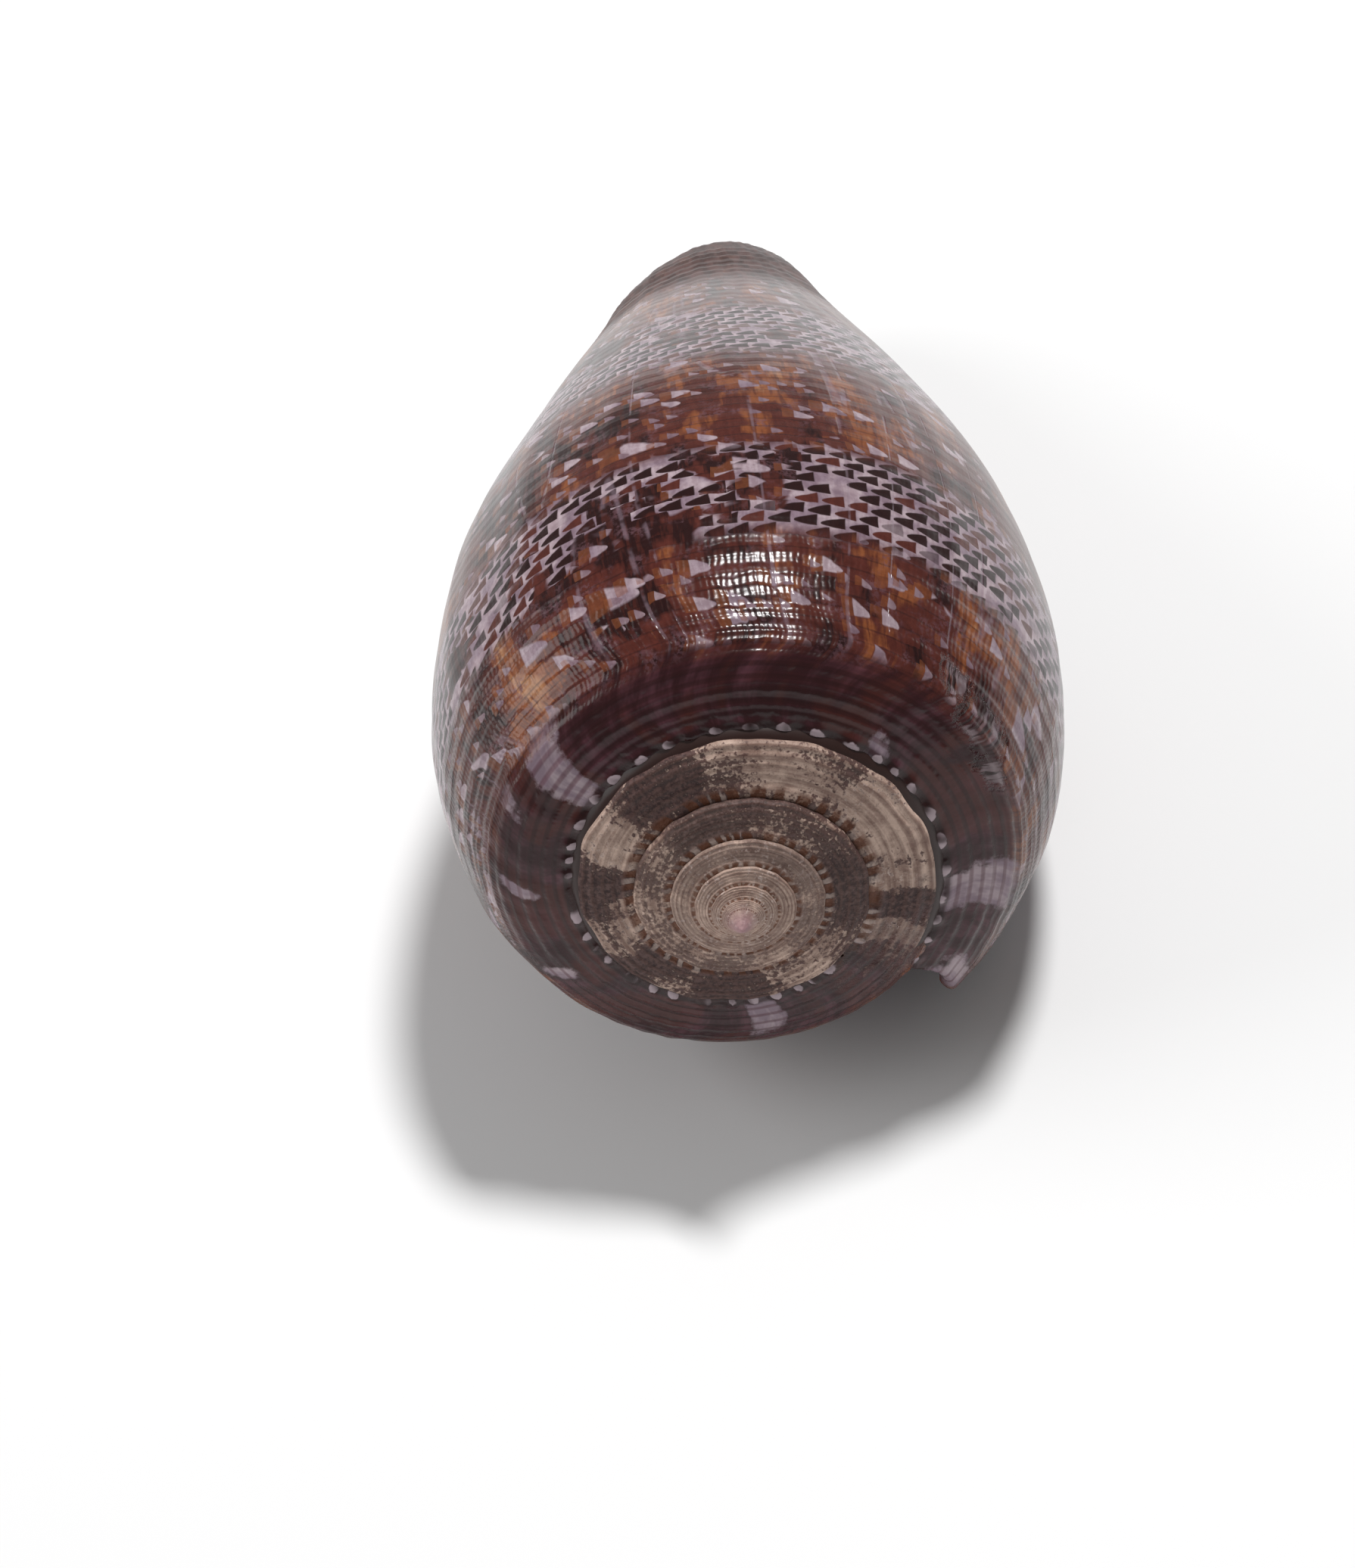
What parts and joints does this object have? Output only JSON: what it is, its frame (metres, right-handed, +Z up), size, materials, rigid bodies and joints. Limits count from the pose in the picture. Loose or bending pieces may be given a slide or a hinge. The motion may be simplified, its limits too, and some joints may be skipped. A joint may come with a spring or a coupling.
{
  "type": "cone shell",
  "caption": "Empty cone snail shell with a low stepped spire, rounded shoulder, long tapering body whorl and full-length slit aperture, lying on its aperture",
  "frame": {"origin": "on the surface the shell lies on, under the middle of its bounding box", "axes": "+Z up; the spire faces -Y and the siphonal end faces +Y, with the coil axis in the YZ plane; millimetres in the source, metres in the row"},
  "size_m": [0.0272, 0.0498, 0.0253],
  "materials": {
    "shell_enamel": "glossy enamel over patterned shell, chalky and worn on the spire"
  },
  "bodies": {
    "root": {"shell": "shell_enamel"}
  },
  "joints": []
}
